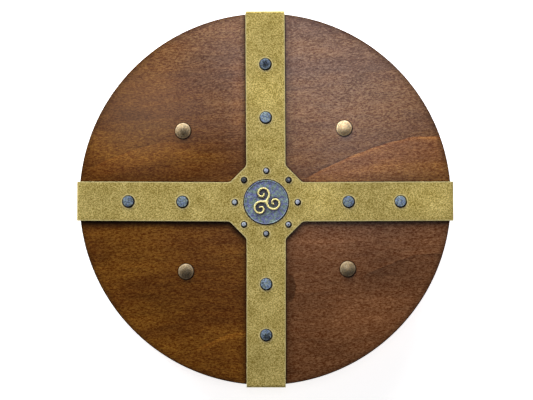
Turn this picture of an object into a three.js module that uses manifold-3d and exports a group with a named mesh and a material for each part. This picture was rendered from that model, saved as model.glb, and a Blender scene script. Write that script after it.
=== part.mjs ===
// A round wooden shield lying on its back, front face up. Millimetres, +Z up, +Y towards the shield's top.
// A flat plywood board carries a cross of sheet brass whose four ends wrap the rim. Steel rivets and nails
// hold the cross, an inlaid steel medallion with a brass triskele fills its hub, and two leather straps
// for the hand and the forearm hang on four brass-headed bolts. The shield lies on the straps' crowns.
import * as THREE from "three";
import { mergeVertices } from "three/addons/utils/BufferGeometryUtils.js";
import Module from "manifold-3d";

const wasm = await Module();
wasm.setup();

// Fits
const SEAT_GAP = 0.3; // between two faces that rest on each other
const SHANK_GAP = 0.3; // round a shank in its hole

// Board
const BOARD_DIAMETER = 500;
const BOARD_THICKNESS = 10;
const BOARD_EDGE_CHAMFER = 1.2;

// Cross
const SHEET_THICKNESS = 2;
const BAND_WIDTH = 52.6;
const BEND_INSIDE_RADIUS = 1;
const RIM_GAP = 0.9; // between the board's rim and the turned-down sheet
const BACK_TAB_LENGTH = 20; // sheet turned onto the back, from the cross's outer face
const HUB_OFFSET = [1.3, -3.8]; // from the board's centre to the middle of the hub
const HUB_FILLET_RADIUS = 8; // where a band's edge meets a slanting side of the hub

// Medallion
const MEDALLION_DIAMETER = 59.6;
const MEDALLION_GROOVE = 0.9; // open ring between the medallion and the cross
const MEDALLION_STAND = 0.7; // its field above the cross's face
const MEDALLION_LIP_HEIGHT = 0.7;
const MEDALLION_LIP_WIDTH = 1.8;

// Triskele on the medallion's field, its curves as shares of its own radius
const TRISKELE_MARGIN = 8.8; // between the lip and the spirals
const TRISKELE_OFFSET = [-0.5, 0.5]; // from the medallion's centre
const TRISKELE_HEIGHT = 1.4;
const TRISKELE_CHAMFER = 0.35;
const SPIRAL_CENTRE_SHARE = 0.61;
const SPIRAL_START_SHARE = 0.5; // radius where an arm enters its spiral
const SPIRAL_LOSS_SHARE = 0.42; // radius lost from there to the inner end
const WEB_SHARES = [0.055, 0.01]; // where the three arms meet
const LEAVE_SHARE = 0.09; // how firmly an arm keeps its first heading out of the web
const ENTER_SHARE = 0.25; // how firmly it keeps its heading into the spiral
const STROKE_SHARE = 0.135; // width
const STROKE_END_SHARE = 0.1;
const WEB_WIDTH_SHARE = 0.26;
const SPIRAL_TURN = 405; // degrees wound, inwards
const SPIRAL_DIRECTION = 112.5; // of the first spiral, in degrees from +X
const ENTRY_ANGLE = 144; // from a spiral's direction back to the point where its arm enters
const ENTRY_HEADING = 91; // from that point's direction back to the arm's, seen towards the web
const LEAVE_ANGLE = 53; // from a spiral's direction back to the arm's heading out of the web

// Rivets along the arms
const RIVET_FROM_END = 70.5; // the outer rivet, from the cross's end
const RIVET_PITCH = 70.6; // from the outer rivet to the inner one
const RIVET_HEAD_DIAMETER = 15.6;
const RIVET_HEAD_HEIGHT = 1.7;
const RIVET_HEAD_EDGE = 1; // upright part of the head's height
const RIVET_SHANK_DIAMETER = 5;
const RIVET_TAIL_DIAMETER = 9;
const RIVET_TAIL_HEIGHT = 2;

// Hand work: each arm's turn off square in degrees, and how far its outer and inner rivet stray to the hub
const ARM_PLAY = {
  right: [0.31, 0.6, -0.3],
  top: [0.36, 0.8, 1.8],
  left: [-0.3, -1.5, 0.5],
  bottom: [0, 0.3, -1.9],
};

// Nails round the medallion
const NAIL_COUNT = 8;
const NAIL_FROM_MEDALLION = 12.4;
const NAIL_HEAD_DIAMETER = 8;
const NAIL_HEAD_HEIGHT = 1.8;
const NAIL_HEAD_EDGE = 0.9;
const NAIL_SHANK_DIAMETER = 3;
const NAIL_LENGTH = 8; // under the head
const HUB_FROM_NAILS = 11; // from the nails' circle out to the hub's slanting sides

// Bolts that hold the straps, one at each end
const STRAP_SPACING = 217;
const STRAP_SPAN = 189;
// Each strap's place across as a share of the spacing, its place along Y, and its turn in degrees
const STRAP_PLACES = { grip: [-0.5, -2.5, 1.2], arm: [0.5, 1, 1.5] };
const BOLT_HEAD_DIAMETER = 20.6;
const BOLT_HEAD_HEIGHT = 5;
const BOLT_HEAD_EDGE = 0.8;
const BOLT_SHANK_DIAMETER = 6;
const BOLT_TAIL_DIAMETER = 10;
const BOLT_TAIL_HEIGHT = 2.4;
const WASHER_DIAMETER = 18;
const WASHER_THICKNESS = 1.4;

// Straps
const LEATHER_THICKNESS = 3.5;
const STRAP_WIDTH = 34;
const LOOP_ROOM = 48; // clear height between the board and a strap's crown
const CROWN_LENGTH = 62; // flat stretch that the shield lies on
const TAB_INWARD = 16; // flat leather from the bolt towards the loop

// Steps round each turned form
const RIM_STEPS = 90;
const BEND_STEPS = 3;
const FILLET_STEPS = 3;
const MEDALLION_STEPS = 40;
const LIP_STEPS = 4;
const BOLT_STEPS = 16;
const RIVET_STEPS = 16;
const NAIL_STEPS = 12;
const HOLE_STEPS = 8;
const SPIRAL_STEPS = 18;
const LEAD_STEPS = 5;
const STRAP_CURVE_STEPS = 8;
const STRAP_END_STEPS = 6;
const CUT_MARGIN = 5; // how far a cutting tool runs past the piece

// Levels, from the straps' crowns up
const BOARD_RADIUS = BOARD_DIAMETER / 2;
const BOARD_BACK = LEATHER_THICKNESS + LOOP_ROOM + SEAT_GAP;
const BOARD_FRONT = BOARD_BACK + BOARD_THICKNESS;
const CROSS_BACK = BOARD_FRONT + SEAT_GAP;
const CROSS_FRONT = CROSS_BACK + SHEET_THICKNESS;
const CROSS_REACH = BOARD_RADIUS + RIM_GAP + SHEET_THICKNESS;
const FIELD = CROSS_FRONT + MEDALLION_STAND;
const WASHER_TOP = BOARD_BACK - LEATHER_THICKNESS - 2 * SEAT_GAP;
const NAIL_SEAT = CROSS_FRONT + SEAT_GAP;
const NAIL_FOOT = NAIL_SEAT - NAIL_LENGTH;
const NAIL_CIRCLE_RADIUS = MEDALLION_DIAMETER / 2 + NAIL_FROM_MEDALLION;
const HUB_APOTHEM = NAIL_CIRCLE_RADIUS + HUB_FROM_NAILS;
const TRISKELE_RADIUS = MEDALLION_DIAMETER / 2 - MEDALLION_LIP_WIDTH - TRISKELE_MARGIN;

const finishes = {
  stained_wood: { color: 0x6b4223, roughness: 0.5, metalness: 0 },
  aged_brass: { color: 0xab9855, roughness: 0.5, metalness: 0.85 },
  blued_steel: { color: 0x6d7a8c, roughness: 0.4, metalness: 0.9 },
  bright_brass: { color: 0xd9c26a, roughness: 0.35, metalness: 0.9 },
  bolt_brass: { color: 0xa08a66, roughness: 0.3, metalness: 0.95 },
  leather: { color: 0x4a2c1a, roughness: 0.7, metalness: 0 },
};
const materials = Object.fromEntries(
  Object.entries(finishes).map(([name, look]) => [name, new THREE.MeshStandardMaterial({ name, ...look })]),
);

// A closed geometry as a solid that can be joined and cut.
function solidOf(geometry) {
  const bare = new THREE.BufferGeometry();
  const source = geometry.index ? geometry.toNonIndexed() : geometry;
  bare.setAttribute("position", source.getAttribute("position"));
  const merged = mergeVertices(bare, 1e-4);
  return new wasm.Manifold(
    new wasm.Mesh({
      numProp: 3,
      vertProperties: merged.getAttribute("position").array,
      triVerts: new Uint32Array(merged.index.array),
    }),
  );
}

function geometryOf(solid) {
  const mesh = solid.getMesh();
  const geometry = new THREE.BufferGeometry();
  geometry.setAttribute("position", new THREE.BufferAttribute(mesh.vertProperties, 3));
  geometry.setIndex(new THREE.BufferAttribute(mesh.triVerts, 1));
  geometry.computeVertexNormals();
  return geometry;
}

// A form turned about the Z axis. The profile's points are [radius, height], from its lower end up.
function turned(profile, steps) {
  const points = profile.map(([radius, height]) => new THREE.Vector2(radius, height));
  return new THREE.LatheGeometry(points, steps).rotateX(Math.PI / 2);
}

// A round bar along Z, for holes.
function bar(radius, low, high, steps) {
  return turned([[0, low], [radius, low], [radius, high], [0, high]], steps);
}

// Points along an arc, angles in degrees, both ends included.
function arc(x, y, radius, from, to, steps) {
  return Array.from({ length: steps + 1 }, (_, i) => {
    const angle = THREE.MathUtils.degToRad(from + ((to - from) * i) / steps);
    return [x + radius * Math.cos(angle), y + radius * Math.sin(angle)];
  });
}

function extruded(points, depth, options = {}) {
  const shape = new THREE.Shape(points.map(([x, y]) => new THREE.Vector2(x, y)));
  return new THREE.ExtrudeGeometry(shape, { depth, bevelEnabled: false, ...options });
}

function cut(solid, tools) {
  return tools.reduce((left, tool) => left.subtract(solidOf(tool)), solid);
}

// A domed head from its underside up: a short upright edge under a ball's cap.
function headProfile(diameter, height, edge, seat, steps) {
  const radius = diameter / 2;
  const rise = height - edge;
  const ball = (radius * radius + rise * rise) / (2 * rise);
  const start = THREE.MathUtils.radToDeg(Math.asin((ball - rise) / ball));
  const cap = arc(0, seat + height - ball, ball, start, 90, steps);
  return [[radius, seat], ...cap.slice(0, -1), [0, seat + height]];
}

// A shank's hammered tail from its lowest point up, its edge slanting over half its height.
function tailProfile(diameter, height, top) {
  const radius = diameter / 2;
  const slant = height / 2;
  return [[0, top - height], [radius - slant, top - height], [radius, top - slant], [radius, top]];
}

// A point in a plan, its angle in degrees.
function polar(radius, degrees) {
  const angle = THREE.MathUtils.degToRad(degrees);
  return new THREE.Vector2(radius * Math.cos(angle), radius * Math.sin(angle));
}

// The cross's arms: their direction from the hub in degrees and how far they reach from it.
const arms = Object.entries(ARM_PLAY).map(([name, [turn, ...strays]], i) => {
  const lean = THREE.MathUtils.degToRad(turn);
  const offset = polar(1, 90 * i).dot(new THREE.Vector2(...HUB_OFFSET));
  const reach = (CROSS_REACH - offset - (BAND_WIDTH / 2) * Math.abs(Math.sin(lean))) / Math.cos(lean);
  return { name, direction: 90 * i + turn, reach, strays };
});

// Where the rivets, nails and bolts stand, seen from the front.
const [hubX, hubY] = HUB_OFFSET;
const rivets = arms.flatMap(({ name, direction, reach, strays }) =>
  ["outer", "inner"].map((end, i) => {
    const place = polar(reach - RIVET_FROM_END - i * RIVET_PITCH - strays[i], direction);
    return [`${name}_${end}`, hubX + place.x, hubY + place.y];
  }),
);
const nails = Array.from({ length: NAIL_COUNT }, (_, i) => {
  const angle = (2 * Math.PI * i) / NAIL_COUNT;
  return [
    `nail_${i + 1}`,
    hubX + NAIL_CIRCLE_RADIUS * Math.cos(angle),
    hubY + NAIL_CIRCLE_RADIUS * Math.sin(angle),
  ];
});
const straps = Object.entries(STRAP_PLACES).map(([name, [share, y, turn]]) => ({
  name,
  side: share < 0 ? "left" : "right",
  x: share * STRAP_SPACING,
  y,
  turn: THREE.MathUtils.degToRad(turn),
}));
const bolts = straps.flatMap(({ side, x, y, turn }) =>
  [["upper", 1], ["lower", -1]].map(([end, way]) => {
    const reach = (way * STRAP_SPAN) / 2;
    return [`${end}_${side}`, x - reach * Math.sin(turn), y + reach * Math.cos(turn)];
  }),
);

// A hole through everything at each place, as cutting tools.
function holes(places, diameter, low, high) {
  return places.map(([, x, y]) => bar(diameter / 2 + SHANK_GAP, low, high, HOLE_STEPS).translate(x, y, 0));
}

function boardSolid() {
  const chamfer = BOARD_EDGE_CHAMFER;
  const disc = turned(
    [
      [0, BOARD_BACK],
      [BOARD_RADIUS - chamfer, BOARD_BACK],
      [BOARD_RADIUS, BOARD_BACK + chamfer],
      [BOARD_RADIUS, BOARD_FRONT - chamfer],
      [BOARD_RADIUS - chamfer, BOARD_FRONT],
      [0, BOARD_FRONT],
    ],
    RIM_STEPS,
  );
  const low = BOARD_BACK - CUT_MARGIN;
  const high = BOARD_FRONT + CUT_MARGIN;
  return cut(solidOf(disc), [
    ...holes(rivets, RIVET_SHANK_DIAMETER, low, high),
    ...holes(nails, NAIL_SHANK_DIAMETER, NAIL_FOOT - SEAT_GAP, high),
    ...holes(bolts, BOLT_SHANK_DIAMETER, low, high),
  ]);
}

// An arm of the cross along X from the hub: over the front, round the rim and onto the back.
function armGeometry(reach) {
  const back = BOARD_BACK - SEAT_GAP - SHEET_THICKNESS;
  const outside = BEND_INSIDE_RADIUS + SHEET_THICKNESS;
  const bend = reach - outside;
  const tabEnd = reach - BACK_TAB_LENGTH;
  const around = (radius) => [
    ...arc(bend, back + outside, radius, -90, 0, BEND_STEPS),
    ...arc(bend, CROSS_FRONT - outside, radius, 0, 90, BEND_STEPS),
  ];
  const profile = [
    [tabEnd, back],
    ...around(outside),
    [0, CROSS_FRONT],
    [0, CROSS_BACK],
    ...around(BEND_INSIDE_RADIUS).reverse(),
    [tabEnd, back + SHEET_THICKNESS],
  ];
  return extruded(profile, BAND_WIDTH).rotateX(Math.PI / 2).translate(0, BAND_WIDTH / 2, 0);
}

// Fills the inner corner where two lines of the plan meet, each a point and its way out of the corner.
function filletGeometry(first, second) {
  const apart = second.point.clone().sub(first.point);
  const corner = first.point
    .clone()
    .addScaledVector(first.way, apart.cross(second.way) / first.way.cross(second.way));
  const bisector = first.way.clone().add(second.way).normalize();
  const half = Math.acos(first.way.dot(bisector));
  const centre = corner.clone().addScaledVector(bisector, HUB_FILLET_RADIUS / Math.sin(half));
  const facing = THREE.MathUtils.radToDeg(bisector.angle()) + 180;
  const spread = 90 - THREE.MathUtils.radToDeg(half);
  const curve = arc(centre.x, centre.y, HUB_FILLET_RADIUS, facing - spread, facing + spread, FILLET_STEPS);
  const inside = corner.addScaledVector(bisector, -CUT_MARGIN);
  return extruded([...curve, [inside.x, inside.y]], SHEET_THICKNESS).translate(0, 0, CROSS_BACK);
}

// The fillets at both ends of the hub's slanting side that faces a direction, between two arms.
function sideFillets(facing, arm, next) {
  const side = polar(HUB_APOTHEM, facing);
  const edge = ({ direction }, way) => ({
    point: polar(BAND_WIDTH / 2, direction + 90 * way),
    way: polar(1, direction),
  });
  return [
    filletGeometry(edge(arm, 1), { point: side, way: polar(1, facing + 90) }),
    filletGeometry(edge(next, -1), { point: side, way: polar(1, facing - 90) }),
  ];
}

function crossSolid() {
  const bands = arms.map(({ direction, reach }) =>
    armGeometry(reach).rotateZ(THREE.MathUtils.degToRad(direction)),
  );
  const hub = new THREE.BoxGeometry(2 * HUB_APOTHEM, 2 * HUB_APOTHEM, SHEET_THICKNESS)
    .rotateZ(Math.PI / 4)
    .translate(0, 0, (CROSS_BACK + CROSS_FRONT) / 2);
  const fillets = arms.flatMap((arm, i) => sideFillets(45 + 90 * i, arm, arms[(i + 1) % arms.length]));
  const joined = [...bands, ...fillets].reduce((whole, part) => whole.add(solidOf(part)), solidOf(hub));
  const low = CROSS_BACK - CUT_MARGIN;
  const high = CROSS_FRONT + CUT_MARGIN;
  const seat = bar(MEDALLION_DIAMETER / 2 + MEDALLION_GROOVE, low, high, MEDALLION_STEPS);
  return cut(joined.translate([hubX, hubY, 0]), [
    seat.translate(hubX, hubY, 0),
    ...holes(rivets, RIVET_SHANK_DIAMETER, low, high),
    ...holes(nails, NAIL_SHANK_DIAMETER, low, high),
  ]);
}

// A disc on the board, with a low rounded lip round its field.
function medallionGeometry() {
  const radius = MEDALLION_DIAMETER / 2;
  const half = MEDALLION_LIP_WIDTH / 2;
  const lip = arc(0, 0, 1, 0, 180, LIP_STEPS).map(([across, up]) => [
    radius - half + half * across,
    FIELD + MEDALLION_LIP_HEIGHT * up,
  ]);
  return turned([[0, CROSS_BACK], [radius, CROSS_BACK], ...lip, [0, FIELD]], MEDALLION_STEPS);
}

// One arm's middle line, from the web to the spiral's inner end, with the stroke's width at each point.
function spiralLine(direction) {
  const size = TRISKELE_RADIUS;
  const centre = polar(SPIRAL_CENTRE_SHARE * size, direction);
  const entry = direction - ENTRY_ANGLE;
  const inSpiral = Array.from({ length: SPIRAL_STEPS + 1 }, (_, i) => {
    const share = i / SPIRAL_STEPS;
    const radius = SPIRAL_START_SHARE - SPIRAL_LOSS_SHARE * share;
    return {
      point: polar(radius * size, entry + SPIRAL_TURN * share).add(centre),
      width: THREE.MathUtils.lerp(STROKE_SHARE, STROKE_END_SHARE, share) * size,
    };
  });
  const web = new THREE.Vector2(...WEB_SHARES).multiplyScalar(size);
  const join = inSpiral[0].point;
  const lead = new THREE.CubicBezierCurve(
    web,
    polar(LEAVE_SHARE * size, direction - LEAVE_ANGLE).add(web),
    polar(ENTER_SHARE * size, entry - ENTRY_HEADING).add(join),
    join,
  );
  const fromWeb = lead.getPoints(LEAD_STEPS).map((point, i) => ({
    point,
    width: THREE.MathUtils.lerp(STROKE_SHARE, WEB_WIDTH_SHARE, (1 - i / LEAD_STEPS) ** 2) * size,
  }));
  return [...fromWeb.slice(0, -1), ...inSpiral];
}

// The outline round that line, drawn in by the chamfer that the extrusion adds.
function spiralOutline(direction) {
  const line = spiralLine(direction);
  const edge = (side) =>
    line.map(({ point, width }, i) => {
      const before = line[Math.max(i - 1, 0)].point;
      const after = line[Math.min(i + 1, line.length - 1)].point;
      const across = after.clone().sub(before).normalize();
      const reach = side * (width / 2 - TRISKELE_CHAMFER);
      return [point.x - across.y * reach, point.y + across.x * reach];
    });
  return [...edge(-1), ...edge(1).reverse()];
}

function triskeleSolid() {
  const chamfers = {
    bevelEnabled: true,
    bevelSegments: 1,
    bevelSize: TRISKELE_CHAMFER,
    bevelThickness: TRISKELE_CHAMFER,
  };
  const depth = TRISKELE_HEIGHT - 2 * TRISKELE_CHAMFER;
  const spirals = [0, 120, 240].map((turn) =>
    solidOf(extruded(spiralOutline(SPIRAL_DIRECTION + turn), depth, chamfers)),
  );
  const [x, y] = TRISKELE_OFFSET;
  const base = FIELD + SEAT_GAP + TRISKELE_CHAMFER;
  return spirals.reduce((joined, spiral) => joined.add(spiral)).translate([hubX + x, hubY + y, base]);
}

// A rivet set through the cross and the board: low head in front, hammered tail on the back.
function rivetGeometry() {
  const seat = CROSS_FRONT + SEAT_GAP;
  const tail = BOARD_BACK - SEAT_GAP;
  const shank = RIVET_SHANK_DIAMETER / 2;
  return turned(
    [
      ...tailProfile(RIVET_TAIL_DIAMETER, RIVET_TAIL_HEIGHT, tail),
      [shank, tail],
      [shank, seat],
      ...headProfile(RIVET_HEAD_DIAMETER, RIVET_HEAD_HEIGHT, RIVET_HEAD_EDGE, seat, 2),
    ],
    RIVET_STEPS,
  );
}

// A short nail that ends inside the board.
function nailGeometry() {
  const shank = NAIL_SHANK_DIAMETER / 2;
  return turned(
    [
      [0, NAIL_FOOT],
      [shank, NAIL_FOOT + shank],
      [shank, NAIL_SEAT],
      ...headProfile(NAIL_HEAD_DIAMETER, NAIL_HEAD_HEIGHT, NAIL_HEAD_EDGE, NAIL_SEAT, 2),
    ],
    NAIL_STEPS,
  );
}

// A domed bolt through the board and a strap's end, hammered over its washer.
function boltGeometry() {
  const seat = BOARD_FRONT + SEAT_GAP;
  const tail = WASHER_TOP - WASHER_THICKNESS - SEAT_GAP;
  const shank = BOLT_SHANK_DIAMETER / 2;
  return turned(
    [
      ...tailProfile(BOLT_TAIL_DIAMETER, BOLT_TAIL_HEIGHT, tail),
      [shank, tail],
      [shank, seat],
      ...headProfile(BOLT_HEAD_DIAMETER, BOLT_HEAD_HEIGHT, BOLT_HEAD_EDGE, seat, 4),
    ],
    BOLT_STEPS,
  );
}

function washerGeometry() {
  const low = WASHER_TOP - WASHER_THICKNESS;
  const inside = BOLT_SHANK_DIAMETER / 2 + SHANK_GAP;
  const outside = WASHER_DIAMETER / 2;
  const section = [[inside, low], [outside, low], [outside, WASHER_TOP], [inside, WASHER_TOP], [inside, low]];
  return turned(section, BOLT_STEPS);
}

// One face of a strap as [along, height] points; side is 1 for the face towards the board, -1 for the other.
function strapFace(side) {
  const tab = BOARD_BACK - SEAT_GAP - LEATHER_THICKNESS / 2;
  const crown = LEATHER_THICKNESS / 2;
  const foot = STRAP_SPAN / 2 - TAB_INWARD;
  const top = CROWN_LENGTH / 2;
  const reach = (side * LEATHER_THICKNESS) / 2;
  const rise = Array.from({ length: STRAP_CURVE_STEPS + 1 }, (_, i) => {
    const share = i / STRAP_CURVE_STEPS;
    const slope = (((crown - tab) / (top - foot)) * Math.PI * Math.sin(Math.PI * share)) / 2;
    const lean = Math.atan(slope);
    return [
      THREE.MathUtils.lerp(foot, top, share) - reach * Math.sin(lean),
      THREE.MathUtils.lerp(tab, crown, (1 - Math.cos(Math.PI * share)) / 2) + reach * Math.cos(lean),
    ];
  });
  const pastEnd = STRAP_SPAN / 2 + STRAP_WIDTH;
  const half = [[pastEnd, tab + reach], ...rise];
  return [...half.map(([along, height]) => [-along, height]), ...half.reverse()];
}

// A leather strap along Y, with round ends and a hole for each bolt.
function strapSolid() {
  const ribbon = extruded([...strapFace(-1), ...strapFace(1).reverse()], STRAP_WIDTH)
    .translate(0, 0, -STRAP_WIDTH / 2)
    .rotateX(Math.PI / 2)
    .rotateZ(Math.PI / 2);
  const bolt = STRAP_SPAN / 2;
  const round = STRAP_WIDTH / 2;
  const height = BOARD_BACK + 2 * CUT_MARGIN;
  const plan = extruded(
    [...arc(0, bolt, round, 0, 180, STRAP_END_STEPS), ...arc(0, -bolt, round, 180, 360, STRAP_END_STEPS)],
    height,
  );
  const ends = [["upper", 0, bolt], ["lower", 0, -bolt]];
  return cut(
    solidOf(ribbon).intersect(solidOf(plan.translate(0, 0, -CUT_MARGIN))),
    holes(ends, BOLT_SHANK_DIAMETER, -CUT_MARGIN, BOARD_BACK + CUT_MARGIN),
  );
}

function piece(name, geometry, material, x = 0, y = 0) {
  const mesh = new THREE.Mesh(geometry, material);
  mesh.name = name;
  mesh.position.set(x, y, 0);
  return mesh;
}

const shield = new THREE.Group();
shield.add(
  piece("board", geometryOf(boardSolid()), materials.stained_wood),
  piece("cross", geometryOf(crossSolid()), materials.aged_brass),
  piece("medallion", medallionGeometry(), materials.blued_steel, hubX, hubY),
  piece("triskele", geometryOf(triskeleSolid()), materials.bright_brass),
);
for (const [place, x, y] of rivets) {
  shield.add(piece(`arm_rivet_${place}`, rivetGeometry(), materials.blued_steel, x, y));
}
for (const [name, x, y] of nails) {
  shield.add(piece(`hub_${name}`, nailGeometry(), materials.blued_steel, x, y));
}

for (const [place, x, y] of bolts) {
  shield.add(piece(`strap_bolt_${place}`, boltGeometry(), materials.bolt_brass, x, y));
  shield.add(piece(`strap_washer_${place}`, washerGeometry(), materials.bolt_brass, x, y));
}

const strapGeometry = geometryOf(strapSolid());
for (const { name, x, y, turn } of straps) {
  const strap = piece(`${name}_strap`, strapGeometry, materials.leather, x, y);
  strap.rotation.z = turn;
  shield.add(strap);
}

export default shield;
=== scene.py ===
"""A round wooden shield with a riveted brass cross, lying face up on its two leather straps."""

import math
from functools import reduce

import bmesh
import bpy
from mathutils import Matrix, Vector, noise


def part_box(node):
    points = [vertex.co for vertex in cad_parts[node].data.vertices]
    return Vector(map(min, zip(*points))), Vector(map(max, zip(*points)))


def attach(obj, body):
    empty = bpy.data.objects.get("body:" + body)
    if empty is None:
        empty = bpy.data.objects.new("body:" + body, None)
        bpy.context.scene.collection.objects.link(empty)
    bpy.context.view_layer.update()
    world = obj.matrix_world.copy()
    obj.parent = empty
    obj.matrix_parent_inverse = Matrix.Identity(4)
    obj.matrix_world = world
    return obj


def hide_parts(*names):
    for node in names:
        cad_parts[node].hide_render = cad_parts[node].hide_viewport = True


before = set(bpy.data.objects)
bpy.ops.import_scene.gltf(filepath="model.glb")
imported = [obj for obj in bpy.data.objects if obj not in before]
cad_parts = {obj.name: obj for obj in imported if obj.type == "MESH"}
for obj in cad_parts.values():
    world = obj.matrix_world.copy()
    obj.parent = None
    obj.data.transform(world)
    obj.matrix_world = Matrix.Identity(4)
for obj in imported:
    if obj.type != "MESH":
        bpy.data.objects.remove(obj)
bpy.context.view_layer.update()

MM = 0.001

# The board and its wood
BOARD_EDGE = 1.6 * MM
BOARD_STEPS = 256
PLIES = 5
GRAIN_ANGLE = 4  # degrees by which the grain rises to the right
GRAIN_WARP = 30 * MM
KNOT_PLACE = (31 * MM, -120 * MM)
KNOT_RADII = (10 * MM, 19 * MM)
CAST_SHIFT = (0, -4 * MM)  # how far the cross's shade falls beside it
# Figure lines, all in mm but the last: where each starts and ends in x, its lowest and highest y, how far
# the paler wood reaches below it, strength
FIGURES = [
    (54, 226, 28, 84.5, 60, 1.0), (130, 235, -104, -72, 36, -0.28),
    (-95, -20, -202, -178, 10, 0.4), (-235, -120, 42, 76, 30, 0.36),
]
FIGURE_WAVER = 7 * MM

# The cross's sheet
BAND_WIDTH = 52.6 * MM
HUB_APOTHEM = 53.2 * MM
HUB_FILLET = 8 * MM
SHEET_THICKNESS = 2.25 * MM
SHEET_EDGE = 0.35 * MM
BEND_RADIUS = 3 * MM
BEND_STEPS = 8
BACK_TAB_LENGTH = 20 * MM
ARM_TURNS = {"right": 0.31, "top": 0.36, "left": -0.3, "bottom": 0.0}  # degrees off square, from +X round

# The medallion and its triskele, whose curves are shares of its radius
GROOVE = 0.9 * MM
ROUND_STEPS = 128  # of the medallion and of the opening round it
LIP_WIDTH = 1.8 * MM
LIP_HEIGHT = 0.7 * MM
THIRDS = (0, 120, 240)
TRISKELE_RADIUS = 19.2 * MM
TRISKELE_OFFSET = Vector((-0.5, 0.5)) * MM
SPIRAL_CENTRE = 0.61
SPIRAL_START = 0.5
SPIRAL_LOSS = 0.42
SPIRAL_TURN = 405
SPIRAL_DIRECTION = 112.5
SPIRAL_STEPS = 90
ENTRY_ANGLE = 144
ENTRY_HEADING = 91
ENTRY_STEPS = 16
LEAVE_ANGLE = 53
LEAVE = 0.09
ENTER = 0.25
WEB = Vector((0.055, 0.01))
STROKE = 0.135
STROKE_END = 0.1
WEB_WIDTH = 0.26
VOXEL = 0.17 * MM

# Broad patches that are paler or darker than the rest: place and radii in mm, strength
WOOD_PATCHES = [
    (-144, 139, 55, 35, 0.36), (-208, 59, 40, 32, 0.1), (-70, 205, 45, 30, -0.1), (142, 150, 50, 35, -0.1),
    (141, -156, 75, 45, 0.4), (74, -62, 60, 30, 0.28), (-190, -70, 60, 50, -0.14),
    (-144, -143, 60, 45, -0.14), (214, -70, 40, 40, 0.2), (-33, 130, 14, 75, 0.36), (35, 130, 12, 75, -0.1),
]
# On the brass these patches are painted light: paler on the top and right arms, darker on the left and bottom
# arms and the top end
GOLD_PATCHES = [
    (0, 143, 40, 34, 0.22), (0, 220, 30, 26, -0.08), (-221, 0, 40, 30, -0.12), (77, 0, 40, 30, 0.2),
    (222, 0, 45, 30, 0.24), (182, 0, 20, 20, 0.22), (0, -218, 40, 34, -0.1), (0, 66, 30, 20, 0.06),
]
PATCH_END = 1.3  # how far out a patch has faded, as a share of its radii
PAINTED_SHEEN_PATCH = (-165, 115, 90, 80)  # a painted sheen: a greyer patch of the wood, place and radii in mm
RUBBED = (-100, 50, 110, 45)  # where the varnish is thin, place and radii in mm

# Heads. A dark ring of dirt and painted shade lies thickest on the low right side of each, where the shade
# falls.
# Each head's grey and patch are painted reflections. A patch is (x, y, radius, lightness): x and y from
# the head's middle and the radius, all in mm, and its lightness as a share of the face's
SHADED_SIDE = Vector((0.2, -0.2)) * MM
NAIL_SHADE_AND_DIRT_LESS = 0.25 * MM  # how much less far the dark ring of dirt and painted shade reaches round a nail than round a rivet
NAILS = [  # from +X round: grey of the face and patch, both painted reflections
    (194, None), (100, (0.7, 0.2, 1.4, 3.2)), (178, None), (104, (0, 0, 2.4, 0.25)),
    (190, None), (200, (0, 0, 0.9, 0.3)), (164, None), (184, (0.2, -0.3, 1.4, 0.25)),
]
# Rivets by place: grey of the face and patch, both painted reflections
RIVETS = {
    "top_outer": (124, (0.6, 0, 6.6, 0.25)), "top_inner": (154, None), "bottom_inner": (152, None),
    "bottom_outer": (142, (1.6, -2, 6.4, 0.25)), "left_outer": (138, None), "left_inner": (145, None),
    "right_inner": (141, None), "right_outer": (160, None),
}
# Domes by place: grey of the face and patch, both painted light and reflection
DOMES = {
    "upper_left": (188, (0.8, -1.8, 7, 0.4)), "upper_right": (232, (0, 1, 6, 1.35)),
    "lower_left": (152, (0.5, -1, 8.5, 0.5)), "lower_right": (150, (-1.5, 3, 6, 1.3)),
}
RIVET_FACE_RADIUS = 6.9 * MM
RIVET_SHOULDER = 1.1 * MM
RIVET_SHANK_RADIUS = 2.5 * MM
RIVET_TAIL_RADIUS = 4.5 * MM
RIVET_TAIL_HEIGHT = 2 * MM
RIVET_DENT = 0.1 * MM
RIVET_STEPS = 48
NAIL_FACE_RADIUS = 2.6 * MM
NAIL_SHOULDER = 1.5 * MM
NAIL_SHANK_RADIUS = 1.5 * MM
NAIL_POINT = 1.5 * MM
NAIL_DENT = 0.15 * MM
NAIL_STEPS = 32
BOLT_FACE_RADIUS = 10.3 * MM
BOLT_EDGE = 0.8 * MM
BOLT_SHANK_RADIUS = 3 * MM
BOLT_TAIL_RADIUS = 5 * MM
BOLT_DENT = 0.12 * MM
BOLT_STEPS = 64
DENT_SIZE = 5 * MM
WASHER_EDGE = 0.4 * MM
WASHER_DISH_RADIUS = 5.2 * MM
WASHER_DISH_DEPTH = 0.2 * MM
WASHER_STEPS = 48

# Straps
LEATHER_THICKNESS = 3.5 * MM
LEATHER_EDGE = 0.9 * MM
LEATHER_GAP = 0.02 * MM
STRAP_WIDTH = 34 * MM
STRAP_SPAN = 189 * MM
STRAP_TURNS = {"grip_strap": 1.2, "arm_strap": 1.5}
STRAP_ROWS = 70  # from the middle to a bolt
STRAP_COLUMNS = 8
CROWN_LENGTH = 62 * MM
TAB_INWARD = 16 * MM

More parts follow.
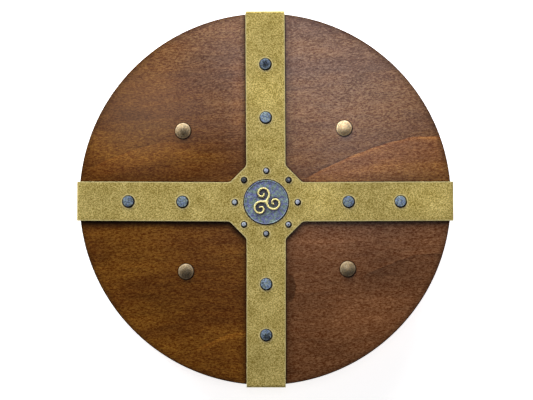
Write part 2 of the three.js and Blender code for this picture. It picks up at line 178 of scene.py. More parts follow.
# Studio. The key is kept out of reflections, where it would turn the varnish white in low views
FLOOR_REACH = 6
SKY_FADE = (0.1, 0.24)  # upward shares of a direction between which the sky dims
SKY_STRENGTH = (1.0, 0.08)  # below and above them
SKY_COLOUR = (0.97, 0.98, 1.0, 1)
KEY = {
    "place": (-0.52, 1.98, 0.85), "target": (0, 0, 0), "size": (3.2, 1.1), "radiance": 11,
    "colour": (1, 1, 1), "turn": 0, "mirrored": False,
}
OVERHEAD = {
    "place": (0.14, 0.53, 3.26), "target": (0.14, 0.53, 0), "size": (0.9, 0.55), "radiance": 6.4,
    "colour": (1, 0.93, 1), "turn": -44, "mirrored": True,
}

# Camera: straight above the board's front, off its middle as in the photograph
CAMERA_LENS = 100
CAMERA_SENSOR = 36
CAMERA_HEIGHT = 1.989
CAMERA_SHIFT = Vector((1.76 * MM, -0.98 * MM, 0))


def srgb(red, green, blue):
    """A colour given as 0 to 255 in sRGB, as a shader takes it."""
    def linear(value):
        share = value / 255
        return share / 12.92 if share <= 0.04045 else ((share + 0.055) / 1.055) ** 2.4

    return (linear(red), linear(green), linear(blue), 1)


def tinted(grey, red, green, blue):
    """A grey of 0 to 255 in sRGB with each channel times a share."""
    return srgb(grey * red, grey * green, grey * blue)


STAIN_DARK = srgb(103, 58, 6)
STAIN_LIGHT = srgb(118, 71, 8)
STAIN_LOWER_RIGHT_SHEEN = srgb(112, 69, 22)
PAINTED_SHEEN_COLOUR = srgb(140, 116, 100)
PLY_LIGHT = srgb(92, 57, 32)
PLY_DARK = srgb(66, 39, 21)
WOOD_SHADE_AND_DIRT = srgb(22, 13, 7)
PATINA_DARK = srgb(189, 169, 93)
PATINA_LIGHT = srgb(200, 181, 108)
GOLD_WORN_HIGHLIGHT = srgb(226, 212, 152)
GOLD_PAINTED_HALO = srgb(240, 226, 164)
GOLD_SHADE_AND_DIRT = srgb(30, 25, 18)
HEAD_SHADE_AND_DIRT = srgb(24, 22, 22)
MEDALLION_VIOLET = srgb(108, 116, 160)
MEDALLION_GREEN = srgb(124, 146, 138)
MEDALLION_LIP_HIGHLIGHT = srgb(190, 200, 214)
MEDALLION_SHADE_AND_DIRT = srgb(44, 34, 36)
TRISKELE_BRIGHT = srgb(255, 244, 168)
TRISKELE_DARK = srgb(232, 208, 124)
WASHER_BRIGHT = srgb(178, 160, 128)
WASHER_DARK = srgb(150, 124, 90)
LEATHER_DARK = srgb(70, 42, 26)
LEATHER_LIGHT = srgb(92, 58, 36)


# Places and shapes


def polar(radius, degrees):
    angle = math.radians(degrees)
    return Vector((radius * math.cos(angle), radius * math.sin(angle)))


def arc(x, y, radius, start, end, steps):
    """Points along an arc, angles in degrees, both ends included."""
    return [
        tuple(Vector((x, y)) + polar(radius, start + (end - start) * i / steps)) for i in range(steps + 1)
    ]


def nodes_named(start):
    return sorted(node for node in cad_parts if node.startswith(start))


def middle(node):
    low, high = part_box(node)
    return (low + high) / 2


def head_radius(node):
    low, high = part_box(node)
    return (high.y - low.y) / 2


def medallion_radius():
    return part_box("medallion")[1].x - middle("medallion").x


def finished_mesh(name, bm, sharp_angle):
    """The mesh of bm, smooth except where it turns by more than the angle in degrees."""
    bmesh.ops.recalc_face_normals(bm, faces=bm.faces)
    mesh = bpy.data.meshes.new(name)
    bm.to_mesh(mesh)
    bm.free()
    mesh.shade_smooth()
    mesh.set_sharp_from_angle(angle=math.radians(sharp_angle))
    return mesh


def turned(name, profile, centre, steps):
    """A form turned about the upright line through centre. The profile holds (radius, height) points."""
    bm = bmesh.new()
    rings = []
    for radius, height in profile:
        if radius == 0:
            rings.append([bm.verts.new((centre.x, centre.y, height))])
            continue
        ring = []
        for i in range(steps):
            at = polar(radius, 360 * i / steps)
            ring.append(bm.verts.new((centre.x + at.x, centre.y + at.y, height)))
        rings.append(ring)
    for low, high in zip(rings, rings[1:]):
        for i in range(steps):
            j = (i + 1) % steps
            corners = [low[i % len(low)], low[j % len(low)], high[j % len(high)], high[i % len(high)]]
            bm.faces.new(list(dict.fromkeys(corners)))
    return finished_mesh(name, bm, sharp_angle=35)


def add_piece(mesh, material, slot, *nodes):
    """Puts a mesh in the scene under its own name, in place of CAD nodes."""
    piece = bpy.data.objects.new(mesh.name, mesh)
    bpy.context.scene.collection.objects.link(piece)
    mesh.materials.append(material)
    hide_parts(*nodes)
    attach(piece, "root")
    return piece


def thicken(piece, name, thickness):
    """Gives an open surface its thickness, inwards from the side it was drawn on."""
    solid = piece.modifiers.new(name, "SOLIDIFY")
    solid.thickness = thickness
    solid.offset = -1
    solid.use_even_offset = True


def soften_edges(piece, width):
    """Rounds a sheet's cut edges."""
    edge = piece.modifiers.new("edge", "BEVEL")
    edge.width = width
    edge.segments = 3
    edge.limit_method = "ANGLE"
    edge.angle_limit = math.radians(50)
    edge.use_clamp_overlap = False


def keep_flat(piece):
    """Keeps broad faces shading flat beside their rounded edges."""
    piece.modifiers.new("flat", "WEIGHTED_NORMAL").keep_sharp = True


# Materials


class Surface:
    """A node material with one principled shader. Positions are in metres, in the shield's frame."""

    def __init__(self, name):
        self.material = bpy.data.materials.new(name)
        self.material.use_nodes = True
        self.tree = self.material.node_tree
        self.shader = self.tree.nodes["Principled BSDF"]
        self.place = self.node("ShaderNodeTexCoord").outputs["Object"]
        split = self.node("ShaderNodeSeparateXYZ", {"Vector": self.place})
        self.x, self.y, self.z = split.outputs

    def node(self, kind, inputs=None, **settings):
        made = self.tree.nodes.new(kind)
        for name, value in settings.items():
            setattr(made, name, value)
        for name, value in (inputs or {}).items():
            self.feed(made.inputs[name], value)
        return made

    def feed(self, socket, value):
        if isinstance(value, bpy.types.NodeSocket):
            self.tree.links.new(value, socket)
        else:
            socket.default_value = value

    def set(self, **inputs):
        """Feeds the shader's sockets, named in lower case with underscores."""
        for socket in self.shader.inputs:
            key = socket.name.lower().replace(" ", "_")
            if key in inputs:
                self.feed(socket, inputs[key])

    def calc(self, operation, first, second=0.0, third=0.0):
        made = self.node("ShaderNodeMath", operation=operation)
        for socket, value in zip(made.inputs, (first, second, third)):
            self.feed(socket, value)
        return made.outputs[0]

    def times(self, *values):
        return reduce(lambda first, second: self.calc("MULTIPLY", first, second), values)

    def most(self, *values):
        return reduce(lambda first, second: self.calc("MAXIMUM", first, second), values)

    def least(self, *values):
        return reduce(lambda first, second: self.calc("MINIMUM", first, second), values)

    def rest(self, share):
        """What a share leaves of one."""
        return self.calc("SUBTRACT", 1.0, share)

    def vector(self, x, y, z):
        return self.node("ShaderNodeCombineXYZ", {"X": x, "Y": y, "Z": z}).outputs[0]

    def along(self, degrees, origin=(0, 0)):
        """How far the place lies from an origin in a direction of the plan."""
        way = polar(1, degrees)
        start = -(way.x * origin[0] + way.y * origin[1])
        return self.calc("MULTIPLY_ADD", self.x, way.x, self.calc("MULTIPLY_ADD", self.y, way.y, start))

    def away(self, origin, radii=(1, 1)):
        """The distance from an upright line through a point of the plan, as a share of an ellipse's radii."""
        across = self.calc("DIVIDE", self.calc("SUBTRACT", self.x, origin[0]), radii[0])
        up = self.calc("DIVIDE", self.calc("SUBTRACT", self.y, origin[1]), radii[1])
        return self.calc("SQRT", self.calc("MULTIPLY_ADD", across, across, self.calc("MULTIPLY", up, up)))

    def patch(self, x, y, width, height, full=0.1, strength=1.0):
        """A soft patch, sizes in mm, at its strength within the share full of its radii."""
        share = self.away((x * MM, y * MM), (width * MM, height * MM))
        return self.ease(share, PATCH_END, full, 0, strength)

    def patched(self, total, patches):
        """A factor with soft patches added to it."""
        for *sizes, strength in patches:
            total = self.calc("MULTIPLY_ADD", self.patch(*sizes), strength, total)
        return total

    def frayed(self, distance, ragged, spread):
        """A distance that a noise moves to and fro within a spread."""
        return self.calc("MULTIPLY_ADD", self.calc("SUBTRACT", ragged, 0.5), spread, distance)

    def stretched(self, *sizes, offset=(0, 0, 0)):
        """The place in a space where a feature of these sizes is one unit."""
        inputs = {"Vector": self.place, "Scale": [1 / size for size in sizes], "Location": offset}
        return self.node("ShaderNodeMapping", inputs).outputs[0]

    def noise(self, vector, detail=2.0, roughness=0.5):
        inputs = {"Vector": vector, "Scale": 1.0, "Detail": detail, "Roughness": roughness}
        return self.node("ShaderNodeTexNoise", inputs).outputs[0]

    def spots(self, size, detail=2.0, roughness=0.5, offset=(0, 0, 0)):
        """A noise with features of one size in every direction."""
        return self.noise(self.stretched(size, size, size, offset=offset), detail, roughness)

    def ease(self, value, low, high, to_low=0.0, to_high=1.0):
        """A smooth step of value between low and high."""
        inputs = {"Value": value, "From Min": low, "From Max": high, "To Min": to_low, "To Max": to_high}
        return self.node("ShaderNodeMapRange", inputs, interpolation_type="SMOOTHSTEP").outputs[0]

    def spread(self, value):
        """A noise spread over the whole range from 0 to 1."""
        return self.ease(value, 0.28, 0.72)

    def mix(self, share, first, second, blend_type="MIX"):
        made = self.node("ShaderNodeMix", data_type="RGBA", blend_type=blend_type)
        self.feed(made.inputs[0], share)
        self.feed(made.inputs[6], first)
        self.feed(made.inputs[7], second)
        return made.outputs[2]

    def shade(self, colour, factor):
        """The colour times a number."""
        grey = self.node("ShaderNodeCombineColor")
        for socket in grey.inputs:
            self.feed(socket, factor)
        return self.mix(1.0, colour, grey.outputs[0], "MULTIPLY")

    def tone(self, *layers):
        """A factor round 1 from layers of (noise, strength)."""
        total = 1.0
        for value, strength in layers:
            total = self.calc("MULTIPLY_ADD", value, strength, self.calc("ADD", total, -strength / 2))
        return total

    def bump(self, height, distance, strength, under=None):
        inputs = {"Height": height, "Distance": distance, "Strength": strength}
        if under is not None:
            inputs["Normal"] = under
        return self.node("ShaderNodeBump", inputs).outputs[0]


def cross_distance(s, shift=(0, 0)):
    """How far the place is from the shifted cross's outline in the plan, less than nothing inside it."""
    hub = middle("medallion").xy + Vector(shift)
    distance = None
    for i, turn in enumerate(ARM_TURNS.values()):
        direction = 90 * i + turn
        beside = s.calc("SUBTRACT", s.calc("ABSOLUTE", s.along(direction + 90, hub)), BAND_WIDTH / 2)
        arm = s.most(beside, s.times(s.along(direction, hub), -1))
        distance = arm if distance is None else s.calc("SMOOTH_MIN", distance, arm, 1e-6)
    slanted = [s.calc("ABSOLUTE", s.along(degrees, hub)) for degrees in (45, 135)]
    square = s.calc("SUBTRACT", s.most(*slanted), HUB_APOTHEM)
    return s.calc("SMOOTH_MIN", distance, square, 2 * MM)


def beyond_head(s, node, more=0.0):
    """How far the place is outside a head's dark circle of soiling and painted shade, which may be more or
    less wide than the head.
    """
    return s.calc("SUBTRACT", s.away(middle(node).xy + SHADED_SIDE), head_radius(node) + more)


def wood_grain(s):
    """A maker of noises that run along the slightly warped grain."""
    warp = s.noise(s.stretched(300 * MM, 120 * MM, 300 * MM))
    run = s.along(GRAIN_ANGLE)
    across = s.calc("MULTIPLY_ADD", warp, GRAIN_WARP, s.along(GRAIN_ANGLE + 90))

    def grain(length, width, detail=2.0, shift=0.0):
        place = s.vector(
            s.calc("MULTIPLY_ADD", run, 1 / length, shift),
            s.times(across, 1 / width),
            s.times(s.z, 1 / width),
        )
        return s.noise(place, detail, 0.6)

    return grain


def figure(s, wiggle, start, end, low, high, wash):
    """A light line that climbs across the grain ever less steeply, with paler wood below it."""
    inputs = {"Value": s.x, "From Min": start, "From Max": end, "To Max": math.pi / 2}
    share = s.node("ShaderNodeMapRange", inputs).outputs[0]
    level = s.calc("MULTIPLY_ADD", s.calc("SINE", share), high - low, low)
    off = s.calc("MULTIPLY_ADD", wiggle, FIGURE_WAVER, s.calc("SUBTRACT", s.y, level))
    under = s.ease(off, 0.7 * MM, -0.7 * MM)
    line = s.times(s.ease(off, -5.5 * MM, -1.5 * MM), under)
    below = s.times(s.ease(off, -wash, -wash / 3), under)
    above = s.times(s.ease(off, -0.4 * MM, 1 * MM), s.ease(off, 6 * MM, 1 * MM))
    total = s.calc("MULTIPLY_ADD", below, 1.4, s.calc("MULTIPLY_ADD", above, -0.3, line))
    fade_in = s.ease(s.x, start - 10 * MM, start + 20 * MM)
    fade_out = s.ease(s.x, end + 30 * MM, end)
    return s.times(total, s.times(fade_in, fade_out))


def figures(s, wiggle):
    """All figure lines in one factor."""
    lines = 0.0
    for *sizes, strength in FIGURES:
        line = figure(s, wiggle, *(size * MM for size in sizes))
        lines = s.calc("MULTIPLY_ADD", line, strength, lines)
    return lines


def stained_face(s, grain, fine, streaks, wiggle):
    """The stained wood: streaks, clouds, figures and patches under a fine grain, with painted sheen to the
    lower right and in one greyer patch.
    """
    clouds = grain(150 * MM, 36 * MM, 2.0, 3.0)
    blotches = grain(36 * MM, 10 * MM, 2.0, 6.0)
    tone = s.tone((streaks, 0.42), (clouds, 0.5), (blotches, 0.45))
    tone = s.patched(s.calc("MULTIPLY_ADD", figures(s, wiggle), 0.5, tone), WOOD_PATCHES)
    stain = s.mix(s.ease(clouds, 0.38, 0.62), STAIN_DARK, STAIN_LIGHT)
    # Painted sheen: the stain turns paler and greyer towards the lower right
    lower_right = s.times(s.ease(s.x, -10 * MM, 20 * MM), s.ease(s.y, 10 * MM, -20 * MM))
    stain = s.mix(lower_right, stain, STAIN_LOWER_RIGHT_SHEEN)
    grains = s.mix(s.calc("POWER", fine, 1.45), (0.45, 0.25, 0.0, 1), (1.75, 2.25, 7.0, 1))
    face = s.mix(1.0, s.shade(stain, tone), grains, "MULTIPLY")
    # Painted sheen: a greyer, paler patch
    return s.mix(s.patch(*PAINTED_SHEEN_PATCH, strength=0.25), face, PAINTED_SHEEN_COLOUR)


def wood_shade_and_dirt(s, wiggle):
    """Painted shade and shadow by the cross, soiling and painted shade round bolts, a darker rim, a dark
    knot.
    """
    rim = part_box("board")[1].x
    radius = s.away((0, 0))
    beside = cross_distance(s)
    cast_strength = s.ease(s.x, -20 * MM, 20 * MM, 0.82, 0.5)
    knot = s.calc("MULTIPLY_ADD", wiggle, 0.9, s.away(KNOT_PLACE, KNOT_RADII))
    bolts = [beyond_head(s, node) for node in nodes_named("strap_bolt")]
    return s.most(
        s.ease(beside, 2.2 * MM, 0.3 * MM, 0, 0.85),
        s.ease(beside, 16 * MM, 0, 0, 0.24),
        s.ease(cross_distance(s, CAST_SHIFT), 9 * MM, -2 * MM, 0, cast_strength),
        s.ease(s.least(*bolts), 1.6 * MM, 0.8 * MM, 0, 0.9),
        s.ease(radius, rim - 9 * MM, rim - 1.6 * MM, 0, 0.35),
        s.ease(radius, rim - 1.8 * MM, rim - 0.9 * MM, 0, 0.7),
        s.ease(knot, 1.02, 0.9, 0, 0.5),
    )


def ply_edge(s):
    """The board's cut edge, where its plies show light and dark."""
    low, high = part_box("board")
    ply = s.times(s.calc("SUBTRACT", s.z, low.z), PLIES / (high.z - low.z))
    dark = s.calc("LESS_THAN", s.calc("FRACT", s.times(ply, 0.5)), 0.5)
    end_grain = s.noise(s.stretched(6 * MM, 6 * MM, 1.1 * MM))
    return s.shade(s.mix(dark, PLY_LIGHT, PLY_DARK), s.ease(end_grain, 0.2, 0.8, 0.7, 1.2))


def wood_material():
    """Stained plywood under thin varnish, its grain rising a little to the right."""
    s = Surface("stained_wood")
    grain = wood_grain(s)
    fibres = s.spread(grain(3.6 * MM, 1.2 * MM))
    pores = s.spread(grain(1.8 * MM, 1.2 * MM, 1.0, 5.0))
    fine = s.calc("MULTIPLY_ADD", pores, 0.35, s.times(fibres, 0.65))
    streaks = grain(60 * MM, 5 * MM, 2.0, 9.0)
    wiggle = s.calc("SUBTRACT", s.spots(30 * MM, 3.0, offset=(7, 2, 0)), 0.5)
    shade_and_grime = wood_shade_and_dirt(s, wiggle)
    # Painted shade and shadow, with some dirt, darken the stained face
    face = s.mix(shade_and_grime, stained_face(s, grain, fine, streaks, wiggle), WOOD_SHADE_AND_DIRT)

    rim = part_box("board")[1].x
    radius = s.away((0, 0))
    edge = s.ease(radius, rim - 0.5 * MM, rim - 0.15 * MM)
    rubbed = s.patch(*RUBBED, full=0.2, strength=0.6)
    varnish = s.times(s.ease(fine, 0, 1, 0.35, 1.0), s.rest(shade_and_grime), s.rest(rubbed))
    s.set(
        base_color=s.mix(edge, face, ply_edge(s)),
        roughness=s.ease(fine, 0.2, 0.8, 0.66, 0.54),
        specular_ior_level=0.06,
        coat_weight=s.times(varnish, s.ease(radius, rim, rim - 2 * MM)),
        coat_roughness=0.21,
        normal=s.bump(streaks, 0.5 * MM, 0.15),
    )
    return s.material


def gold_material():
    """Dull mustard brass: speckled patina, rubbed edges under a painted highlight, painted light on some
    arms, and a painted pale halo and a dark ring of soiling and painted shade round each head.
    """
    s = Surface("aged_brass")
    speckle = s.spots(1.5 * MM, 2.0, 0.6)
    grain = s.spread(speckle)
    clouds = s.spots(20 * MM, 3.0, 0.6)
    wide = s.spots(110 * MM, offset=(3, 1, 0))
    patina = s.mix(s.ease(clouds, 0.3, 0.7), PATINA_DARK, PATINA_LIGHT)
    colour = s.shade(patina, s.patched(s.tone((clouds, 0.45), (wide, 0.25)), GOLD_PATCHES))
    colour = s.mix(1.0, colour, s.mix(grain, (0.5, 0.44, 0.15, 1), (1.5, 1.56, 1.85, 1)), "MULTIPLY")

    # Edges rubbed bright, with a painted highlight along them, round the outline and the opening
    into_opening = s.calc("SUBTRACT", medallion_radius() + GROOVE, s.away(middle("medallion")))
    inside = s.frayed(s.most(cross_distance(s), into_opening), speckle, 1.2 * MM)
    worn_highlight = s.ease(inside, -1.9 * MM, -0.8 * MM)
    colour = s.mix(s.times(worn_highlight, 0.65), colour, GOLD_WORN_HIGHLIGHT)

    ring = s.least(
        *(beyond_head(s, node) for node in nodes_named("arm_rivet")),
        *(beyond_head(s, node, -NAIL_SHADE_AND_DIRT_LESS) for node in nodes_named("hub_nail")),
    )
    # A painted pale halo round each head, outside its dark ring
    halo = s.times(s.ease(ring, 0.8 * MM, 1.5 * MM), s.ease(ring, 3 * MM, 1.5 * MM))
    colour = s.mix(s.times(halo, 0.75), colour, GOLD_PAINTED_HALO)
    # A dark ring round each head: dirt and painted shade, thickest on the shaded low right side
    shade_and_dirt = s.ease(s.frayed(ring, speckle, 0.5 * MM), 0.95 * MM, 0.5 * MM)
    s.set(
        base_color=s.mix(shade_and_dirt, colour, GOLD_SHADE_AND_DIRT),
        metallic=s.times(s.rest(shade_and_dirt), 0.27),
        roughness=s.ease(grain, 0, 1, 0.62, 0.52),
        specular_ior_level=0.3,
        normal=s.bump(speckle, 0.12 * MM, 0.4),
    )
    return s.material


def head_material(name, node, face_radius, patch, tints, contrast, metallic, edge_highlight=1.0):
    """A weathered head: a mottled face inside a dark edge of soiling and painted shade, with perhaps one
    patch of its own, a painted reflection.
    """
    s = Surface(name)
    centre = middle(node).xy
    mottle = s.spots(1.8 * MM, 2.0, 0.6)
    hue = s.spots(2.4 * MM, 1.0, offset=(4, 9, 0))
    grain = s.spread(mottle)
    colour = s.shade(s.mix(s.ease(hue, 0.38, 0.62), *tints), s.ease(grain, 0, 1, 1 - contrast, 1 + contrast))
    # A painted reflection on the face, at its own lightness
    if patch:
        x, y, radius, lightness = patch
        size = radius * MM
        ragged = s.frayed(s.away(centre + Vector((x, y)) * MM), mottle, size)
        colour = s.shade(colour, s.ease(ragged, size, size * 0.4, 1.0, lightness))
    # A painted highlight round the face's edge
    if edge_highlight != 1.0:
        ragged = s.frayed(s.away(centre), mottle, 2 * MM)
        edge_glint = s.ease(ragged, face_radius - 2 * MM, face_radius - 0.7 * MM, 1.0, edge_highlight)
        colour = s.shade(colour, edge_glint)
    # A painted dark edge of shade and dirt, thickest on the shaded low right side
    rim = s.ease(s.away(centre - SHADED_SIDE), face_radius - 0.2 * MM, face_radius + 0.5 * MM)
    s.set(
        base_color=s.mix(rim, colour, HEAD_SHADE_AND_DIRT),
        metallic=s.times(s.rest(rim), metallic),
        roughness=s.calc("MULTIPLY_ADD", rim, 0.2, s.ease(grain, 0, 1, 0.55, 0.43)),
        specular_ior_level=0.15,
        normal=s.bump(mottle, 0.1 * MM, 0.4),
    )
    return s.material


def rivet_material(node, grey, patch):
    """Blue-green steel whose face has a given lightness, a painted reflection."""
    tints = tinted(grey, 0.82, 0.94, 1.14), tinted(grey, 0.93, 1.04, 1.04)
    return head_material(node + "_steel", node, RIVET_FACE_RADIUS, patch, tints, contrast=0.5, metallic=0.27)


def nail_material(node, grey, patch):
    """Bare grey steel whose face has a given lightness, a painted reflection."""
    tints = tinted(grey, 0.95, 0.99, 1.12), tinted(grey, 0.98, 1.03, 1.05)
    return head_material(node + "_steel", node, NAIL_FACE_RADIUS, patch, tints, contrast=0.3, metallic=0.3)


def dome_material(node, grey, patch):
    """Brown-grey brass whose face has a given lightness as painted light, with a painted highlight towards
    its edge.
    """
    tints = tinted(grey, 1, 0.9, 0.73), tinted(grey, 1, 0.86, 0.65)
    return head_material(
        node + "_brass", node, BOLT_FACE_RADIUS, patch, tints, contrast=0.25, metallic=0.35, edge_highlight=1.5
    )


def medallion_material():
    """Blue-grey steel with violet and green stains, a painted highlight on its lip, painted shade in a dark
    ring at its edge, and darker round the middles of the spirals.
    """
    s = Surface("medallion_steel")
    hub = middle("medallion").xy
    mottle = s.spots(3.5 * MM, 3.0, 0.65)
    speckle = s.spread(s.spots(1.5 * MM))
    hue = s.spots(4 * MM, offset=(4, 9, 0))
    colour = s.mix(s.ease(hue, 0.4, 0.6), MEDALLION_VIOLET, MEDALLION_GREEN)
    colour = s.shade(colour, s.tone((mottle, 1.7)))
    colour = s.mix(1.0, colour, s.mix(speckle, (0.6, 0.58, 0.55, 1), (1.4, 1.42, 1.45, 1)), "MULTIPLY")

    radius = medallion_radius()
    away = s.away(hub)
    colour = s.shade(colour, s.ease(away, 0.6 * radius, 0.85 * radius, 1.0, 1.12))
    # A painted highlight along the lip
    outer_slope = s.ease(away, radius - 0.4 * MM, radius - 0.9 * MM)
    lip = s.times(s.ease(away, radius - LIP_WIDTH, radius - 1.2 * MM), outer_slope)
    colour = s.mix(s.times(lip, 0.3), colour, MEDALLION_LIP_HIGHLIGHT)
    # Darker round the middles of the spirals, and painted shade in a dark ring at the disc's edge
    eyes = [
        hub + TRISKELE_OFFSET + polar(SPIRAL_CENTRE, SPIRAL_DIRECTION + turn) * TRISKELE_RADIUS
        for turn in THIRDS
    ]
    shade_and_dirt = s.most(
        *(s.ease(s.away(eye), 9.5 * MM, 7 * MM, 0, 0.75) for eye in eyes),
        s.ease(away, radius - 0.5 * MM, radius, 0, 0.9),
    )
    s.set(
        base_color=s.mix(shade_and_dirt, colour, MEDALLION_SHADE_AND_DIRT),
        metallic=s.times(s.rest(shade_and_dirt), 0.28),
        roughness=s.ease(mottle, 0.25, 0.75, 0.5, 0.36),
        normal=s.bump(mottle, 0.2 * MM, 0.4),
    )
    return s.material


def polished_brass_material(name, bright, dark, roughness, metallic):
    """Brass rubbed bright, with small darker patches."""
    s = Surface(name)
    patches = s.spots(2.5 * MM, 3.0, 0.6)
    s.set(
        base_color=s.mix(s.ease(patches, 0.4, 0.8), bright, dark),
        metallic=metallic,
        roughness=s.ease(patches, 0.3, 0.7, roughness, roughness + 0.12),
        normal=s.bump(patches, 0.06 * MM, 0.4),
    )
    return s.material


def leather_material():
    """Dark brown strap leather with a fine pebbled grain and darker creases."""
    s = Surface("leather")
    inputs = {"Vector": s.place, "Scale": 900.0, "Randomness": 1.0}
    pebble = s.node("ShaderNodeTexVoronoi", inputs, feature="SMOOTH_F1").outputs["Distance"]
    stain = s.spots(22 * MM, 3.0, 0.6)
    crease = s.noise(s.stretched(16 * MM, 4 * MM, 4 * MM), 3.0, 0.6)
    colour = s.mix(s.ease(stain, 0.3, 0.7), LEATHER_DARK, LEATHER_LIGHT)
    s.set(
        base_color=s.shade(colour, s.tone((crease, 0.5))),
        roughness=s.ease(pebble, 0.0, 0.6, 0.5, 0.72),
        specular_ior_level=0.45,
        normal=s.bump(crease, 0.3 * MM, 0.5, s.bump(pebble, 0.15 * MM, 0.5)),
    )
    return s.material


# Pieces


def make_board(material):
    low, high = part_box("board")
    centre_line = high.x - BOARD_EDGE
    profile = [
        (0, low.z),
        *arc(centre_line, low.z + BOARD_EDGE, BOARD_EDGE, -90, 0, 5),
        *arc(centre_line, high.z - BOARD_EDGE, BOARD_EDGE, 0, 90, 5),
        (0, high.z),
    ]
    mesh = turned("shield_board", profile, Vector((0, 0)), BOARD_STEPS)
    keep_flat(add_piece(mesh, material, "stained_wood", "board"))


def corner_arc(edge_point, edge_way, side_point, side_way):
    """The fillet's points where a band's edge meets a slanting side, anticlockwise round the cross."""
    apart = side_point - edge_point
    length = apart.cross(side_way) / edge_way.cross(side_way)
    corner = edge_point + edge_way * length
    bisector = (edge_way + side_way).normalized()
    half = edge_way.angle(bisector)
    centre = corner + bisector * HUB_FILLET / math.sin(half)
    facing = math.degrees(math.atan2(bisector.y, bisector.x)) + 180
    spread = 90 - math.degrees(half)
    return arc(centre.x, centre.y, HUB_FILLET, facing + spread, facing - spread, 8)


def cross_arms():
    """Each arm's way out, the way to its left and how far it reaches from the hub, from +X round."""
    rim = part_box("cross")[1].x
    hub = middle("medallion").xy
    arms = []
    for i, turn in enumerate(ARM_TURNS.values()):
        lean = math.radians(turn)
        room = rim - polar(1, 90 * i).dot(hub) - BAND_WIDTH / 2 * abs(math.sin(lean))
        arms.append((polar(1, 90 * i + turn), polar(1, 90 * i + turn + 90), room / math.cos(lean)))
    return arms


def closed_edges(bm, verts):
    return [bm.edges.new((a, b)) for a, b in zip(verts, verts[1:] + verts[:1])]


def make_cross(material):
    """The flat front with its slanted corners, each arm bent round the rim and onto the back."""
    low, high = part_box("cross")
    hub = middle("medallion").xy
    half = BAND_WIDTH / 2
    arms = cross_arms()
    bm = bmesh.new()

    def vert(point, height=high.z):
        return bm.verts.new((hub.x + point[0], hub.y + point[1], height))

    outline = []
    ends = []
    for i, (out, left, reach) in enumerate(arms):
        bend = out * (reach - BEND_RADIUS)
        ends.append((vert(bend - left * half), vert(bend + left * half)))
        next_out, next_left, _ = arms[(i + 1) % len(arms)]
        side = polar(HUB_APOTHEM, 45 + 90 * i)
        first = corner_arc(left * half, out, side, polar(1, 135 + 90 * i))
        second = corner_arc(-next_left * half, next_out, side, polar(1, 90 * i - 45))
        outline += [*ends[-1], *map(vert, first), *map(vert, second)]
    opening = [vert(point) for point in arc(0, 0, medallion_radius() + GROOVE, 0, 360, ROUND_STEPS)[:-1]]
    edges = closed_edges(bm, outline) + closed_edges(bm, opening)
    bmesh.ops.triangle_fill(bm, use_beauty=True, edges=edges)

    for (out, left, reach), last in zip(arms, ends):
        path = [
            *arc(reach - BEND_RADIUS, high.z - BEND_RADIUS, BEND_RADIUS, 90, 0, BEND_STEPS)[1:],
            *arc(reach - BEND_RADIUS, low.z + BEND_RADIUS, BEND_RADIUS, 0, -90, BEND_STEPS),
            (reach - BACK_TAB_LENGTH, low.z),
        ]
        for distance, height in path:
            row = (vert(out * distance - left * half, height), vert(out * distance + left * half, height))
            bm.faces.new((last[0], row[0], row[1], last[1]))
            last = row
    piece = add_piece(finished_mesh("shield_cross", bm, 50), material, "aged_brass", "cross")
    thicken(piece, "sheet", SHEET_THICKNESS)
    soften_edges(piece, SHEET_EDGE)
    keep_flat(piece)


def make_medallion(material):
    low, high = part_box("medallion")
    radius = medallion_radius()
    field = high.z - LIP_HEIGHT
    half = LIP_WIDTH / 2
    lip = [(radius - half + half * x, field + LIP_HEIGHT * y) for x, y in arc(0, 0, 1, 0, 180, 12)]
    profile = [(0, low.z), (radius, low.z), *lip, (radius * 0.6, field), (0, field)]
    mesh = turned("medallion_disc", profile, middle("medallion"), ROUND_STEPS)
    keep_flat(add_piece(mesh, material, "blued_steel", "medallion"))


def spiral_line(direction):
    """One arm's middle line from the web inwards, as (point, width) in shares of the triskele's radius."""
    centre = polar(SPIRAL_CENTRE, direction)
    entry = direction - ENTRY_ANGLE
    join = centre + polar(SPIRAL_START, entry)
    knots = [
        WEB,
        WEB + polar(LEAVE, direction - LEAVE_ANGLE),
        join + polar(ENTER, entry - ENTRY_HEADING),
        join,
    ]
    line = []
    for i in range(ENTRY_STEPS):
        t = i / ENTRY_STEPS
        weights = ((1 - t) ** 3, 3 * t * (1 - t) ** 2, 3 * t * t * (1 - t), t ** 3)
        point = sum((knot * weight for knot, weight in zip(knots, weights)), Vector((0, 0)))
        line.append((point, STROKE + (WEB_WIDTH - STROKE) * (1 - t) ** 2))
    for i in range(SPIRAL_STEPS + 1):
        share = i / SPIRAL_STEPS
        point = centre + polar(SPIRAL_START - SPIRAL_LOSS * share, entry + SPIRAL_TURN * share)
        line.append((point, STROKE + (STROKE_END - STROKE) * share))
    return line


def add_spiral(bm, direction, base, height):
    """One arm of the triskele, a closed rounded stroke that tapers along its line."""
    hub = middle("medallion").xy
    line = spiral_line(direction)
    rows = []
    for i, (point, width) in enumerate(line):
        ahead = line[min(i + 1, len(line) - 1)][0] - line[max(i - 1, 0)][0]
        across = Vector((-ahead.y, ahead.x)).normalized()
        row = []
        for side, rise in arc(0, 0, 1, 0, 180, 12):
            at = hub + (point + across * side * width / 2) * TRISKELE_RADIUS + TRISKELE_OFFSET
            row.append(bm.verts.new((at.x, at.y, base + height * max(rise, 0) ** 0.4)))
        rows.append(row)
    for first, second in zip(rows, rows[1:]):
        for i in range(len(first)):
            j = (i + 1) % len(first)
            bm.faces.new((first[i], first[j], second[j], second[i]))
    bm.faces.new(rows[0])
    bm.faces.new(rows[-1])


